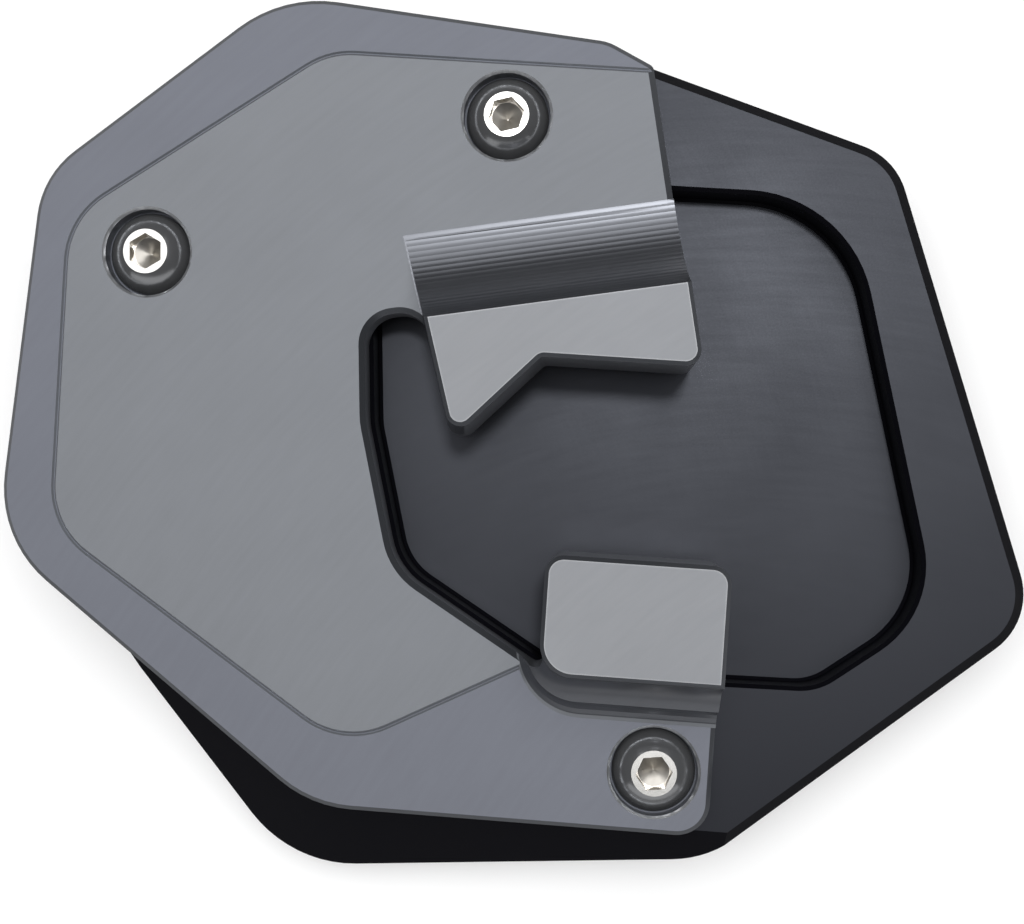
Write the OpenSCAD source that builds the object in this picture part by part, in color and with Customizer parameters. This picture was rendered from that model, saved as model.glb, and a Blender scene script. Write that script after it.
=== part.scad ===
// Kickstand foot enlarger for a motorcycle: a wide base plate with a pocket for the foot of the side stand,
// and a clamp plate, machined in one piece with two bosses, that three button head screws draw down over it.
// Millimetres. +Z is up, the base stands on Z = 0, and the origin is under the middle of the whole part.
// Every outline is a ring of straight sides. A side is given by the direction in which it faces, in degrees
// from +X, and by its distance from the layout point, and neighbouring sides are joined by an arc.

/* [Base plate] */
// Thickness of the base plate
base_thickness = 12; // [10:0.5:16]
// Distance of the base's right side
base_right = 57.1; // [54:0.1:66]
// Distance of the base's upper right side
base_upper_right = 51.2; // [47:0.2:60]
// Distance of the base's lower left side
base_lower_left = 56.8; // [54:0.2:62]
// Distance of the base's bottom side
base_bottom = 54.9; // [52:0.1:60]
// Distance of the base's lower right side
base_lower_right = 57.7; // [54.5:0.2:66]
// Corner radius at both ends of the upper right side
base_corner_upper_right = 8.8; // [4:0.1:14]
// Corner radius between the left and lower left sides
base_corner_left = 15.5; // [8:0.5:18]
// Corner radius between the lower left and bottom sides
base_corner_lower_left = 16; // [6:0.5:20]
// Corner radius between the bottom and lower right sides
base_corner_bottom = 12; // [5:0.5:20]
// Corner radius between the lower right and right sides
base_corner_right = 8.7; // [4:0.1:14]
// Width of the chamfer round the top edge
base_chamfer = 1.4; // [0.4:0.1:2]
// Width of the chamfer round the bottom edge
base_foot_chamfer = 0.6; // [0.2:0.1:1.5]
// Slope of the wide bevels below the clamp plate, from the horizontal
bevel_slope = 35; // [25:1:40]

/* [Foot pocket] */
// Depth of the pocket in the base plate
pocket_depth = 6; // [4:0.5:8]
// Distance of the pocket's right side
pocket_right = 48.4; // [44:0.2:50]
// Distance of the pocket's top side
pocket_top = 33.8; // [30:0.2:34.4]
// Distance of the pocket's upper left side, under the clamp plate
pocket_upper_left = 27; // [25:0.5:29]
// Distance of the pocket's bottom side
pocket_bottom = 30.1; // [29:0.1:33]
// Distance of the pocket's lower right side
pocket_lower_right = 48; // [45:0.2:50]
// Corner radius between the pocket's right and top sides
pocket_corner_upper = 16.7; // [10:0.1:18]
// Corner radius between the pocket's lower right and right sides
pocket_corner_right = 13.1; // [8:0.1:15]
// Corner radius between the pocket's bottom and lower right sides
pocket_corner_lower = 7.8; // [4:0.1:10]
// Width of the chamfer round the pocket's rim
pocket_chamfer = 0.5; // [0.2:0.1:1]
// Size of the relief between the pocket's floor and wall
floor_relief = 0.4; // [0.1:0.1:0.8]

/* [Clamp plate] */
// Thickness of the clamp plate at its raised panel
clamp_thickness = 4.5; // [4:0.1:6]
// Distance of the top side, which the base plate shares
edge_top = 51.4; // [49:0.2:56]
// Distance of the upper left side, which the base plate shares
edge_upper_left = 63; // [61:0.2:68]
// Distance of the left side, which the base plate shares
edge_left = 63.9; // [62:0.2:68]
// Distance of the clamp plate's lower left side, where the base's bevel starts
clamp_lower_left = 51.8; // [50:0.2:53]
// Distance of the clamp plate's bottom side, where the base's bevel starts
clamp_bottom = 47.9; // [47:0.1:50]
// Distance of the clamp plate's right side from the hook boss up
clamp_right_upper = 24.6; // [22:0.2:26]
// Distance of the clamp plate's right side along the lug and the tab
clamp_right_lower = 28; // [27:0.2:30]
// Distance of the short shoulder at the clamp plate's top right
clamp_shoulder = 49.6; // [48:0.1:51]
// Corner radius between the shoulder and the top side
shoulder_corner = 6; // [3:0.5:12]
// Corner radius between the top and upper left sides
edge_corner_top = 17; // [8:0.5:18]
// Corner radius between the upper left and left sides
edge_corner_upper_left = 12; // [6:0.5:16]
// Corner radius between the left and lower left sides of the clamp plate
clamp_corner_left = 15.5; // [10:0.5:20]
// Corner radius between the lower left and bottom sides, also of the bevel
clamp_corner_bottom = 16; // [8:0.5:20]
// Corner radius of the tab
tab_corner = 4.2; // [1:0.1:6]
// Width of the chamfer round the clamp plate's top edge
clamp_chamfer = 0.8; // [0.3:0.1:1.2]
// Width of the chamfer round the cut-out and on the bosses
boss_chamfer = 0.5; // [0.2:0.1:0.9]
// Distance of the cut-out's left side, which the pocket shares
cutout_left = 17.5; // [16.5:0.1:18.5]
// Distance of the cut-out's upper left side, which the pocket shares
cutout_left_upper = 18.25; // [17.5:0.05:19]
// Distance of the cut-out's lower left side, which the pocket shares
cutout_lower_left = 21.7; // [20.5:0.1:23]
// Distance of the round end of the cut-out's finger
finger_end = 17.6; // [16:0.1:19]
// Corner radius of the finger's round end
finger_radius = 3.9; // [2:0.1:3.9]
// Corner radius between the cut-out's left and lower left sides
cutout_corner = 9; // [5:0.5:12]

/* [Raised panel] */
// Height of the panel over the border
panel_rise = 0.2; // [0.1:0.05:0.6]
// Width of the groove that runs round the panel
groove_width = 0.5; // [0.3:0.05:1]
// Width of the groove's floor
groove_floor = 0.1; // [0.05:0.05:0.2]
// Depth of the groove below the border
groove_depth = 0.3; // [0.1:0.05:1]
// Distance of the panel's top side
panel_top = 47.4; // [46.6:0.1:48.8]
// Distance of the panel's upper left side
panel_upper_left = 54; // [53:0.1:56]
// Distance of the panel's left side
panel_left = 58; // [57:0.1:60]
// Distance of the panel's lower left side
panel_lower_left = 43.7; // [43:0.1:46]
// Distance of the panel's bottom side
panel_bottom = 26.5; // [25:0.1:27]
// Corner radius of the panel
panel_corner = 10.5; // [5:0.5:12]

/* [Bosses] */
// Height of both bosses over the panel
boss_rise = 9.5; // [6:0.5:12]
// Distance of the foot of the hook boss's concave flank
hook_foot = 27.2; // [26:0.1:28]
// Distance of the ridge where that flank meets the flat top
hook_ridge = 15.4; // [14.5:0.1:17]
// Distance of the clipped left end of that foot
hook_foot_clipped = 27.5; // [26.5:0.1:28]
// Distance of the hook boss's left side
hook_left = 6.4; // [6:0.1:7.2]
// How far the left side leans out at the panel
hook_lean = 0.9; // [0:0.1:1.2]
// Distance of the hook boss's front side
hook_front = 9.8; // [8.5:0.1:11]
// Distance of the notch's slanted side
hook_notch = 4.1; // [3.4:0.1:5]
// Corner radius of the hook's tip
hook_tip_radius = 1.8; // [0.5:0.1:2.4]
// Corner radius of the hook's front right corner
hook_corner = 1.9; // [0.5:0.1:4]
// Step between the ball mill's passes on the concave flank
pass_step = 0.8; // [0.5:0.05:1.5]
// Radius of the ball mill that cut the flank
ball_radius = 4; // [2:0.5:8]
// Distance of the lug's end, over the pocket
lug_end = 13.7; // [12.5:0.1:15]
// Distance of the lug's left side
lug_left = 5.8; // [4.8:0.1:7]
// Distance of the lug's bottom side at its top edge
lug_bottom = 28.2; // [27:0.1:29]
// Corner radius at the lug's end
lug_corner = 2.3; // [0.8:0.1:4]
// Corner radius at the lug's lower left
lug_root_corner = 4; // [2:0.1:5]
// Plan width of the lug's concave root along its bottom side
root_width = 6; // [5:0.1:6.4]
// Plan width of the lug's concave root at its left side
root_width_left = 3.2; // [2:0.1:4]

/* [Screws] */
// Nominal diameter of the screws
screw_size = 6; // [5:1:6]
// Length under the head
screw_length = 10; // [8:1:11]
// Diameter of the head
head_diameter = 10.5; // [9.5:0.1:10.9]
// Height of the head
head_height = 3.3; // [2.7:0.1:3.6]
// Diameter of the flat ring on top of the head
head_flat = 5.8; // [5.2:0.1:6.5]
// Height of the straight rim at the foot of the dome
head_rim = 0.4; // [0.2:0.1:0.6]
// Width of the hexagon socket across its flats
socket_width = 4; // [3:0.5:4]
// Depth of the hexagon socket
socket_depth = 2.1; // [1.6:0.1:2.2]
// Gap between the head and its counterbore, all round
head_gap = 0.25; // [0.15:0.05:0.5]
// Depth of the counterbore
counterbore_depth = 2.5; // [1.5:0.1:3]
// Width of the chamfer round the counterbore
counterbore_chamfer = 0.35; // [0.1:0.05:0.6]
// Gap between a screw and its hole in the clamp plate, all round
clamp_hole_gap = 0.3; // [0.2:0.05:0.5]
// Gap between a screw and the crest of its tapped hole, all round
tapped_hole_gap = 0.05; // [0.02:0.01:0.1]
// Depth of a tapped hole beyond the screw's end
tapped_hole_spare = 1; // [0.5:0.1:2]
// Place of the left screw, along X and Y
left_screw = [-46.3, 23.9];
// Place of the top screw, along X and Y
top_screw = [-0.4, 40.7];
// Place of the tab's screw, along X and Y
tab_screw = [17.9, -41.5];
// Turn of the left screw's socket, in degrees
left_screw_turn = 30; // [0:1:59]
// Turn of the top screw's socket, in degrees
top_screw_turn = 12; // [0:1:59]
// Turn of the tab screw's socket, in degrees
tab_screw_turn = 5; // [0:1:59]

/* [Hidden] */
$fn = 64;
// Largest turn between two points of an arc, in degrees
ARC_STEP = 6;
// Overlap that keeps a cut clear of the face it leaves
CLEAR = 1;
// Distance of a side that only closes an outline, beyond the rest of the part
FAR = 95;
SMALLEST_RADIUS = 0.05;
// Corner radius where another form covers the corner
COVERED_CORNER = 1;
// How much the lug root's corner radius grows with its width
ROOT_CORNER_SHARE = 0.75;
// Height of a drilled cone, as a share of its radius: below a socket, and below a tapped hole
SOCKET_CONE_SHARE = 0.45;
HOLE_CONE_SHARE = 0.5;
// Chamfer at a screw's end, as a share of its nominal diameter
SCREW_CHAMFER_SHARE = 1 / 12;
// How far the plate stays back under the bosses' ends and under their left sides
END_OVERLAP = 3;
SIDE_OVERLAP = 0.3;
// A point of the hook, and one of the cut-out, from which its whole outline is in sight
HOOK_EYE = [0, 14];
CUTOUT_EYE = [-11, -6];

clamp_underside = base_thickness;
panel_level = clamp_underside + clamp_thickness;
border_level = panel_level - panel_rise;
boss_top = panel_level + boss_rise;
pocket_floor = base_thickness - pocket_depth;
counterbore_floor = panel_level - counterbore_depth;
screw_radius = screw_size / 2;
head_radius = head_diameter / 2;

// Direction in which each side faces
RIGHT = 16.2;
UPPER_RIGHT = 69;
TOP = 80.7;
UPPER_LEFT = 126.2;
LEFT = 173;
LOWER_LEFT = 215;
BOTTOM = 272.6;
LOWER_RIGHT = 306.4;
CLAMP_LOWER_LEFT = 230.3;
CLAMP_BOTTOM = 266.2;
CLAMP_RIGHT_LOWER = 356;
CLAMP_RIGHT_UPPER = 8.3;
SHOULDER = 60.2;
POCKET_RIGHT = 11.5;
POCKET_TOP = 86.2;
POCKET_UPPER_LEFT = 140;
CUTOUT_LEFT_UPPER = 181;
CUTOUT_LEFT = 191.3;
CUTOUT_LOWER_LEFT = 236;
POCKET_BOTTOM = 267.3;
POCKET_LOWER_RIGHT = 303.5;
PANEL_TOP = 85.7;
PANEL_UPPER_LEFT = 121.8;
PANEL_LEFT = 177;
PANEL_LOWER_LEFT = 233.6;
PANEL_BOTTOM = 294.5;
HOOK_FLANK = 97.2;
HOOK_FRONT = 86.1;
HOOK_LEFT = 193;
HOOK_NOTCH = 132.8;
HOOK_KINK = 104.4;

// A side faces ANGLE at DISTANCE, and meets the next one in an arc of RADIUS
function side(angle, distance, radius = SMALLEST_RADIUS) = [angle, distance, radius];

// The point where two lines meet, each given by its direction and distance
function meet(a1, d1, a2, d2) =
    let (det = sin(a2 - a1))
    [(d1 * sin(a2) - d2 * sin(a1)) / det, (d2 * cos(a1) - d1 * cos(a2)) / det];

// The turn from one direction to the next, between -180 and 180
function turn(a1, a2) =
    let (t = (a2 - a1) % 360)
    t > 180 ? t - 360 : t <= -180 ? t + 360 : t;

// The points of the arc that joins side i of a ring to the next, with the ring grown by OUT
function arc(ring, i, out) =
    let (s = ring[i],
         n = ring[(i + 1) % len(ring)],
         sweep = turn(s[0], n[0]),
         bend = sweep > 0 ? 1 : -1,
         r = max(s[2] + bend * out, SMALLEST_RADIUS),
         centre = meet(s[0], s[1] + out - bend * r, n[0], n[1] + out - bend * r),
         steps = max(1, ceil(abs(sweep) / ARC_STEP)))
    [for (k = [0 : steps])
        let (a = s[0] + sweep * k / steps)
        centre + bend * r * [cos(a), sin(a)]];

function outline(ring, out = 0) = [for (i = [0 : len(ring) - 1]) each arc(ring, i, out)];

function middle_of(points) = [for (p = points) 1] * points / len(points);

// A solid through outlines that have the same number of points, given from the lowest level up.
// Its two ends fan out from EYE, a point inside that sees the whole outline.
module loft(levels, outlines, eye = undef) {
    n = len(outlines[0]);
    last = len(levels) - 1;
    centre = is_undef(eye) ? middle_of(outlines[0]) : eye;
    foot = (last + 1) * n;
    points = concat(
        [for (k = [0 : last]) for (p = outlines[k]) [p[0], p[1], levels[k]]],
        [[centre[0], centre[1], levels[0]], [centre[0], centre[1], levels[last]]]);
    ends = [for (i = [0 : n - 1])
        let (j = (i + 1) % n)
        each [[foot, i, j], [foot + 1, last * n + j, last * n + i]]];
    walls = [for (k = [0 : last - 1]) for (i = [0 : n - 1])
        let (j = (i + 1) % n)
        [k * n + i, k * n + n + i, k * n + n + j, k * n + j]];
    polyhedron(points, concat(ends, walls), convexity = 6);
}

// A ring of sides, grown at each level by the amount that goes with it
module block(ring, levels, growths, eye = undef) {
    loft(levels, [for (g = growths) outline(ring, g)], eye);
}

// The outlines

base_ring = [
    side(RIGHT, base_right, base_corner_upper_right),
    side(UPPER_RIGHT, base_upper_right, base_corner_upper_right),
    side(TOP, edge_top, edge_corner_top),
    side(UPPER_LEFT, edge_upper_left, edge_corner_upper_left),
    side(LEFT, edge_left, base_corner_left),
    side(LOWER_LEFT, base_lower_left, base_corner_lower_left),
    side(BOTTOM, base_bottom, base_corner_bottom),
    side(LOWER_RIGHT, base_lower_right, base_corner_right)
];

bevel_ring = [
    side(CLAMP_LOWER_LEFT, clamp_lower_left, clamp_corner_bottom),
    side(CLAMP_BOTTOM, clamp_bottom),
    side(CLAMP_BOTTOM + 80, FAR),
    side(UPPER_RIGHT, FAR),
    side(UPPER_LEFT + 20, FAR)
];

pocket_ring = [
    side(POCKET_RIGHT, pocket_right, pocket_corner_upper),
    side(POCKET_TOP, pocket_top, cutout_corner),
    side(POCKET_UPPER_LEFT, pocket_upper_left, cutout_corner),
    side(CUTOUT_LEFT_UPPER, cutout_left_upper, cutout_corner),
    side(CUTOUT_LEFT, cutout_left, cutout_corner),
    side(CUTOUT_LOWER_LEFT, cutout_lower_left, pocket_corner_lower),
    side(POCKET_BOTTOM, pocket_bottom, pocket_corner_lower),
    side(POCKET_LOWER_RIGHT, pocket_lower_right, pocket_corner_right)
];

clamp_ring = [
    side(CLAMP_RIGHT_UPPER, clamp_right_upper, COVERED_CORNER),
    side(SHOULDER, clamp_shoulder, shoulder_corner),
    side(TOP, edge_top, edge_corner_top),
    side(UPPER_LEFT, edge_upper_left, edge_corner_upper_left),
    side(LEFT, edge_left, clamp_corner_left),
    side(CLAMP_LOWER_LEFT, clamp_lower_left, clamp_corner_bottom),
    side(CLAMP_BOTTOM, clamp_bottom, tab_corner),
    side(CLAMP_RIGHT_LOWER, clamp_right_lower)
];

panel_ring = [
    side(PANEL_TOP, panel_top, panel_corner),
    side(PANEL_UPPER_LEFT, panel_upper_left, panel_corner),
    side(PANEL_LEFT, panel_left, panel_corner),
    side(PANEL_LOWER_LEFT, panel_lower_left, panel_corner),
    side(PANEL_BOTTOM, panel_bottom),
    side(360, FAR)
];

// The cut-out runs on past the clamp plate's right side, and a little way under both bosses
cutout_ring = [
    side(0, FAR),
    side(HOOK_FRONT, hook_front + END_OVERLAP, COVERED_CORNER),
    side(HOOK_NOTCH, hook_notch + SIDE_OVERLAP, hook_tip_radius),
    side(HOOK_LEFT - 180, SIDE_OVERLAP - hook_left - hook_lean, finger_radius),
    side(HOOK_FLANK, finger_end, finger_radius),
    side(CUTOUT_LEFT_UPPER, cutout_left_upper, cutout_corner),
    side(CUTOUT_LEFT, cutout_left, cutout_corner),
    side(CUTOUT_LOWER_LEFT, cutout_lower_left, COVERED_CORNER),
    side(CLAMP_RIGHT_LOWER, lug_left + SIDE_OVERLAP, lug_corner),
    side(CLAMP_BOTTOM, lug_end + END_OVERLAP)
];

// The hook boss, its left side leaning out by LEAN
function hook_ring(lean) = [
    side(CLAMP_RIGHT_UPPER, clamp_right_upper),
    side(HOOK_FLANK, hook_foot),
    side(HOOK_KINK, hook_foot_clipped),
    side(HOOK_LEFT, hook_left + lean, hook_tip_radius),
    side(HOOK_NOTCH + 180, -hook_notch, COVERED_CORNER),
    side(HOOK_FRONT + 180, -hook_front, hook_corner)
];

// The lug, grown at its bottom and left sides by its concave root
function lug_ring(root) = [
    side(CLAMP_RIGHT_LOWER, clamp_right_lower, lug_corner),
    side(CLAMP_BOTTOM - 180, -lug_end, lug_corner),
    side(CLAMP_RIGHT_LOWER - 180, -lug_left + root * root_width_left / root_width,
        lug_root_corner + root * ROOT_CORNER_SHARE),
    side(CLAMP_BOTTOM, lug_bottom + root)
];

// The origin is under the middle of the part's box
function span(points, axis) =
    let (v = [for (p = points) p[axis]])
    [min(v), max(v)];

all_points = concat(outline(base_ring), outline(clamp_ring));
middle = [for (axis = [0, 1]) (span(all_points, axis)[0] + span(all_points, axis)[1]) / 2];

module placed() {
    translate([-middle[0], -middle[1], 0]) children();
}

// The screws

module at_screw(place) {
    translate([place[0], place[1], 0]) children();
}

// The socket is a hexagon with the cone of its drill below it
module socket() {
    corner_radius = socket_width / 2 / cos(30);
    cone = corner_radius * SOCKET_CONE_SHARE;
    translate([0, 0, head_height - socket_depth])
        cylinder(h = socket_depth + CLEAR, r = corner_radius, $fn = 6);
    translate([0, 0, head_height - socket_depth - cone])
        cylinder(h = cone, r1 = 0, r2 = socket_width / 2);
}

module button_screw() {
    dome_height = head_height - head_rim;
    flat_radius = head_flat / 2;
    // The dome's sphere passes through the rim's top and the flat ring's edge
    drop = (head_radius ^ 2 - flat_radius ^ 2 - dome_height ^ 2) / (2 * dome_height);
    dome_radius = sqrt(head_radius ^ 2 + drop ^ 2);
    end_chamfer = screw_size * SCREW_CHAMFER_SHARE;
    difference() {
        union() {
            cylinder(h = head_rim, r = head_radius);
            intersection() {
                translate([0, 0, head_rim]) cylinder(h = dome_height, r = head_radius);
                translate([0, 0, head_rim - drop]) sphere(r = dome_radius);
            }
            translate([0, 0, end_chamfer - screw_length]) cylinder(h = screw_length, r = screw_radius);
            translate([0, 0, -screw_length])
                cylinder(h = end_chamfer, r1 = screw_radius - end_chamfer, r2 = screw_radius);
        }
        socket();
    }
}

module screw_at(place, twist) {
    color("#c9cbcd")
        placed() at_screw(place) translate([0, 0, counterbore_floor]) rotate([0, 0, twist])
            button_screw();
}

module left_screw_m6() screw_at(left_screw, left_screw_turn);
module top_screw_m6() screw_at(top_screw, top_screw_turn);
module tab_screw_m6() screw_at(tab_screw, tab_screw_turn);

SCREW_PLACES = [left_screw, top_screw, tab_screw];

// The counterbore, its chamfer and the clearance hole of a screw, as a cut from above
module screw_cut(place, level) {
    bore = head_radius + head_gap;
    at_screw(place) {
        translate([0, 0, clamp_underside - CLEAR])
            cylinder(h = clamp_thickness + CLEAR, r = screw_radius + clamp_hole_gap);
        translate([0, 0, counterbore_floor])
            cylinder(h = counterbore_depth + CLEAR, r = bore);
        translate([0, 0, level - counterbore_chamfer])
            cylinder(h = counterbore_chamfer * 2, r1 = bore, r2 = bore + counterbore_chamfer * 2);
    }
}

module tapped_hole(place) {
    depth = screw_length + counterbore_depth - clamp_thickness + tapped_hole_spare;
    r = screw_radius + tapped_hole_gap;
    at_screw(place) {
        translate([0, 0, base_thickness - depth]) cylinder(h = depth + CLEAR, r = r);
        translate([0, 0, base_thickness - depth - r * HOLE_CONE_SHARE])
            cylinder(h = r * HOLE_CONE_SHARE, r1 = 0, r2 = r);
    }
}

// The base plate: wide bevels fall away from the clamp plate's lower edges, a chamfer follows the rest

module base_body() {
    bevel_run = base_thickness / tan(bevel_slope);
    intersection() {
        block(base_ring,
            [0, base_foot_chamfer, base_thickness - base_chamfer, base_thickness],
            [-base_foot_chamfer, 0, 0, -base_chamfer]);
        block(bevel_ring, [0, base_thickness], [bevel_run, 0]);
    }
}

module foot_pocket() {
    block(pocket_ring,
        [pocket_floor, pocket_floor + floor_relief, base_thickness - pocket_chamfer, base_thickness + CLEAR],
        [-pocket_chamfer - floor_relief, -pocket_chamfer, -pocket_chamfer, CLEAR]);
}

module base_plate() {
    color("#2b2c30")
        placed() difference() {
            base_body();
            foot_pocket();
            for (place = SCREW_PLACES) tapped_hole(place);
        }
}

// The clamp plate

module prism(ring, low, high, out = 0) {
    translate([0, 0, low]) linear_extrude(high - low) polygon(outline(ring, out));
}

// The groove round the panel, with slanted walls down to a narrow floor
module panel_groove() {
    floor_level = border_level - groove_depth;
    over = panel_level + CLEAR;
    slope = (groove_width - groove_floor) / 2 / groove_depth;
    spread = groove_floor / 2 + slope * (over - floor_level);
    difference() {
        block(panel_ring, [floor_level, over], [groove_floor / 2, spread]);
        block(panel_ring, [floor_level - CLEAR, floor_level, over + CLEAR],
            [-groove_floor / 2, -groove_floor / 2, -spread - slope * CLEAR]);
    }
}

// The plate with its raised panel, the groove round it and the cut-out, before the bosses
module plate() {
    difference() {
        block(clamp_ring,
            [clamp_underside, panel_level - clamp_chamfer, panel_level],
            [0, 0, -clamp_chamfer]);
        difference() {
            prism([for (a = [0 : 90 : 270]) side(a, FAR)], border_level, panel_level + CLEAR);
            prism(panel_ring, border_level - CLEAR, panel_level + 2 * CLEAR);
        }
        panel_groove();
        block(cutout_ring,
            [clamp_underside - CLEAR, border_level - boss_chamfer, panel_level + CLEAR],
            [0, 0, boss_chamfer + panel_rise + CLEAR], CUTOUT_EYE);
    }
}

// The concave flank: a wide arc from the panel up to the ridge, left by the passes of a ball mill
flank_run = hook_foot - hook_ridge;
flank_sweep = 2 * atan(boss_rise / flank_run);
flank_radius = flank_run / sin(flank_sweep);
passes = ceil(flank_radius * flank_sweep * PI / 180 / pass_step);
PASS_POINTS = 3;

// A point on the flank, pressed in between two ridges by the mill's smaller radius
function flank_point(a, depth) = [hook_foot - (flank_radius + depth) * sin(a),
                                  panel_level + flank_radius - (flank_radius + depth) * cos(a)];

flank_curve = [for (k = [0 : passes * PASS_POINTS])
    let (a = flank_sweep * k / passes / PASS_POINTS,
         from_ridge = (k % PASS_POINTS) / PASS_POINTS,
         cut = pass_step ^ 2 / 2 * (1 / ball_radius - 1 / flank_radius) * from_ridge * (1 - from_ridge))
    flank_point(a, k == 0 ? 0 : cut)];

module hook_boss() {
    over = boss_top + CLEAR;
    difference() {
        loft([clamp_underside, border_level - groove_depth * 2, boss_top - boss_chamfer, boss_top],
            [outline(hook_ring(hook_lean)), outline(hook_ring(hook_lean)),
             outline(hook_ring(0)), outline(hook_ring(0), -boss_chamfer)], HOOK_EYE);
        rotate([0, 0, HOOK_FLANK]) rotate([90, 0, 0]) linear_extrude(2 * FAR, center = true)
            polygon(concat(flank_curve,
                [[hook_ridge, over], [hook_foot + 2 * CLEAR, over], [hook_foot + 2 * CLEAR, panel_level]]));
    }
}

// The lug's root is two hollow sweeps, one over the other, from its side down to the tab
root_height = boss_top - boss_chamfer - border_level;
upper_run = root_width * 0.6;
upper_drop = root_height * 0.64;
lower_run = root_width - upper_run;
lower_drop = root_height - upper_drop;
ROOT_STEPS = 6;

// A hollow sweep that starts upright, as run and drop at each step
function sweep_point(run, drop, t) =
    let (end = 2 * atan(run / drop), a = end * t, r = drop / sin(end))
    [r * (1 - cos(a)), r * sin(a)];

root_curve = concat(
    [for (k = [0 : ROOT_STEPS]) sweep_point(upper_run, upper_drop, k / ROOT_STEPS)],
    [for (k = [1 : ROOT_STEPS])
        [upper_run, upper_drop] + sweep_point(lower_run, lower_drop, k / ROOT_STEPS)]);

// The root starts inside the plate, below the groove's floor, and the cut-out trims it
module lug_root() {
    last = len(root_curve) - 1;
    levels = [for (k = [last : -1 : 0]) border_level + root_height - root_curve[k][1]];
    rings = [for (k = [last : -1 : 0]) outline(lug_ring(root_curve[k][0]))];
    foot = border_level - 2 * groove_depth;
    difference() {
        loft(concat([foot], levels), concat([rings[0]], rings));
        prism(cutout_ring, clamp_underside, boss_top + CLEAR);
    }
}

module lug() {
    block(lug_ring(0), [clamp_underside, boss_top - boss_chamfer, boss_top], [0, 0, -boss_chamfer]);
}

module clamp_plate() {
    color("#8d9096")
        placed() difference() {
            union() {
                plate();
                hook_boss();
                lug_root();
                lug();
            }
            screw_cut(left_screw, panel_level);
            screw_cut(top_screw, panel_level);
            screw_cut(tab_screw, border_level);
        }
}

base_plate();
clamp_plate();
left_screw_m6();
top_screw_m6();
tab_screw_m6();
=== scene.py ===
"""Finishes, screws and a plain studio for a kickstand foot enlarger of two machined plates."""

import math

import bmesh
import bpy
from mathutils import Matrix, Vector


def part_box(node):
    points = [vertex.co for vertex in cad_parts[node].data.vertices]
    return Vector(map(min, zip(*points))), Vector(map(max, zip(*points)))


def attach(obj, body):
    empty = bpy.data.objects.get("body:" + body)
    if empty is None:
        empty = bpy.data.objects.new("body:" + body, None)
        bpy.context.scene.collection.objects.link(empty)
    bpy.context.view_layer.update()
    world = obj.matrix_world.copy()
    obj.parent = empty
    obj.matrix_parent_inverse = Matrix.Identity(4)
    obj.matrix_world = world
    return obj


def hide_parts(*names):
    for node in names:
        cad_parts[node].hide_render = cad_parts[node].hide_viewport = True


bl_info = {
    "name": "Kickstand Foot Enlarger",
    "version": (1, 0, 0),
    "blender": (4, 5, 0),
    "location": "View3D > Sidebar > Enlarger",
    "description": "Machined finishes, screws and a plain studio for a kickstand foot enlarger",
    "category": "Object",
}

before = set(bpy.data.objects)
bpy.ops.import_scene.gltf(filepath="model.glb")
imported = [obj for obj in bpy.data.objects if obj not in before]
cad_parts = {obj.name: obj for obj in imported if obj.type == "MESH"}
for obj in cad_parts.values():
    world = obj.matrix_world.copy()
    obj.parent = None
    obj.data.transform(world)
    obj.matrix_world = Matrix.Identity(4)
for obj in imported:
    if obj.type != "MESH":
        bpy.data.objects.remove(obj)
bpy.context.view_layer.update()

MM = 0.001
TURN = 2 * math.pi

# The picture's width that the focal length is stated for
IMAGE_WIDTH = 1024

# Heights of the level faces
CLAMP_THICKNESS = 4.5 * MM
PLATE_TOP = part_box("base_plate")[1][2] + CLAMP_THICKNESS
BOSS_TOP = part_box("clamp_plate")[1][2]

# The screws' axes, and the turns of their sockets in degrees, counted from a corner on +X
SCREW_NODES = ("left_screw_m6", "top_screw_m6", "tab_screw_m6")
SCREW_AXES = [tuple((a + b) / 2 for a, b in zip(*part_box(name)))[:2] + (0.0,) for name in SCREW_NODES]
SCREW_TWISTS = (30, 12, 5)
# A hexagon fresh from the cylinder operator has its corner on +Y, 30 degrees on
HEXAGON_START = 30
# Smooths the dome and keeps the rings and the thread's flanks crisp
SCREW_SMOOTH_ANGLE = math.radians(24)
# From a screw's axis to the outside of the chamfer on its counterbore
EDGE_REACH = 5.9 * MM

# The hook's ball-milled flank: the way it faces, the lines of its foot and its ridge measured along that
# way, and how often the ball mill went along it
FLANK_ANGLE = math.radians(97.2)
FLANK_FOOT = 27.2 * MM
FLANK_RIDGE = 15.4 * MM
FLANK_PASSES = 21
# The way that the hook's left side faces, and its line measured along that way
HOOK_LEFT_ANGLE = math.radians(193)
HOOK_LEFT = 7.3 * MM

# Points nearer to each other than these become one: in a CAD copy, in a fresh turned part, and after cuts
MERGE_GAP = 0.002 * MM
TURNED_GAP = 0.001 * MM
CUT_GAP = 0.003 * MM
# Faces that meet at less than this become one
LEVEL_ANGLE = math.radians(0.1)
# A triangle under this area that no whole surface needs is rounding left by the CAD
SLIVER_AREA = 0.001 * MM * MM
# A face over this area keeps its own shading up to every edge that bends at all
FLAT_AREA = 30 * MM * MM
FLAT_ANGLE = math.radians(0.3)


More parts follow.
